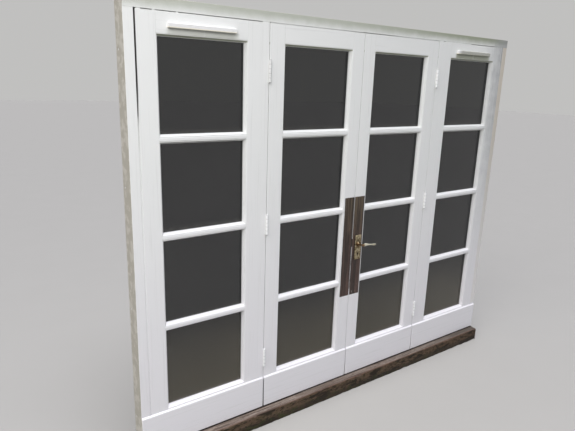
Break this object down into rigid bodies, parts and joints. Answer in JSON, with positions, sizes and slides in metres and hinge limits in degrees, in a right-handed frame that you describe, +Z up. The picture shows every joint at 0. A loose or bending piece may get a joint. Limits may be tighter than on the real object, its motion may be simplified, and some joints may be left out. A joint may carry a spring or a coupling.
{
  "type": "french doors with side lights",
  "caption": "White painted timber french doors in their frame: an outward pair with glazing bars between fixed side lights, lever lock, hinges, bolts, trickle vents and hardwood sill.",
  "frame": {"origin": "on the underside of the sill, half way along it, in line with the outer face of the doors", "axes": "+X along the wall to the right as seen from outside, +Y into the house, +Z up"},
  "size_m": [2.515, 0.1474, 2.121],
  "materials": {
    "painted_timber": "white gloss paint",
    "bare_timber": "dark stained",
    "sill_timber": "weathered hardwood",
    "glass": "clear",
    "painted_steel": "painted",
    "steel": "satin",
    "brass": "worn",
    "vent_plastic": "matt",
    "seal_rubber": "matt"
  },
  "bodies": {
    "frame": {"head": "painted_timber", "sill": "sill_timber", "jamb_left": "painted_timber", "jamb_right": "painted_timber", "mullion_left": "painted_timber", "mullion_right": "painted_timber", "seals": "seal_rubber", "side_left_stiles": "painted_timber", "side_left_rails": "painted_timber", "side_left_bars": "painted_timber", "side_left_panes": "glass", "side_left_beads": "painted_timber", "side_left_kickboard": "painted_timber", "side_right_stiles": "painted_timber", "side_right_rails": "painted_timber", "side_right_bars": "painted_timber", "side_right_panes": "glass", "side_right_beads": "painted_timber", "side_right_kickboard": "painted_timber", "vent_canopies": "vent_plastic", "vent_bodies": "vent_plastic", "hinge_frame_flaps": "painted_steel", "hinge_pins": "painted_steel", "frame_hinge_screws": "steel", "bolt_keeps": "steel"},
    "left_door": {"left_hinge_stile": "painted_timber", "left_meeting_stile": "painted_timber", "left_top_rail": "painted_timber", "left_bottom_rail": "painted_timber", "left_bars": "painted_timber", "left_panes": "glass", "left_beads": "painted_timber", "left_kickboard": "painted_timber", "left_patch": "bare_timber", "left_hinge_flaps": "painted_steel", "left_screws": "steel", "lock_keep": "steel", "bolt_brackets": "steel"},
    "right_door": {"right_hinge_stile": "painted_timber", "right_meeting_stile": "painted_timber", "right_top_rail": "painted_timber", "right_bottom_rail": "painted_timber", "right_bars": "painted_timber", "right_panes": "glass", "right_beads": "painted_timber", "right_kickboard": "painted_timber", "right_patch": "bare_timber", "right_hinge_flaps": "painted_steel", "right_screws": "steel", "lock_case": "steel", "handle_backplates": "brass"},
    "handle": {"lever_outside": "brass", "lever_inside": "brass", "spindle": "steel"},
    "latch": {"latch_bolt": "steel"},
    "deadbolt": {"deadbolt": "steel"},
    "top_bolt": {"top_bolt": "steel"},
    "foot_bolt": {"foot_bolt": "steel"},
    "left_flap": {"vent_flap_left": "vent_plastic"},
    "right_flap": {"vent_flap_right": "vent_plastic"}
  },
  "joints": [
    {"name": "left_door_swing", "type": "hinge", "parent": "frame", "child": "left_door", "pos_m": [-0.587, -0.0085, 1], "axis": [0, 0, -1], "range_deg": [0, 150]},
    {"name": "right_door_swing", "type": "hinge", "parent": "frame", "child": "right_door", "pos_m": [0.587, -0.0085, 1], "axis": [0, 0, 1], "range_deg": [0, 150]},
    {"name": "lever_turn", "type": "hinge", "parent": "right_door", "child": "handle", "pos_m": [0.0445, 0, 0.924], "axis": [0, 1, 0], "range_deg": [0, 40], "stiffness_Nm_per_rad": 0.8, "springref_deg": -28.65},
    {"name": "latch_draw", "type": "slide", "parent": "right_door", "child": "latch", "axis": [1, 0, 0], "range_m": [0, 0.009]},
    {"name": "deadbolt_throw", "type": "slide", "parent": "right_door", "child": "deadbolt", "axis": [-1, 0, 0], "range_m": [0, 0.014]},
    {"name": "top_bolt_throw", "type": "slide", "parent": "left_door", "child": "top_bolt", "axis": [0, 0, 1], "range_m": [0, 0.02]},
    {"name": "foot_bolt_throw", "type": "slide", "parent": "left_door", "child": "foot_bolt", "axis": [0, 0, -1], "range_m": [0, 0.02]},
    {"name": "left_vent_tilt", "type": "hinge", "parent": "frame", "child": "left_flap", "pos_m": [-0.9225, 0.06, 2.014], "axis": [-1, 0, 0], "range_deg": [0, 30]},
    {"name": "right_vent_tilt", "type": "hinge", "parent": "frame", "child": "right_flap", "pos_m": [0.9065, 0.06, 2.014], "axis": [-1, 0, 0], "range_deg": [0, 30]}
  ],
  "couplings": [
    {"joint": "latch_draw", "follows": "lever_turn", "m_per_rad": 0.0128}
  ]
}
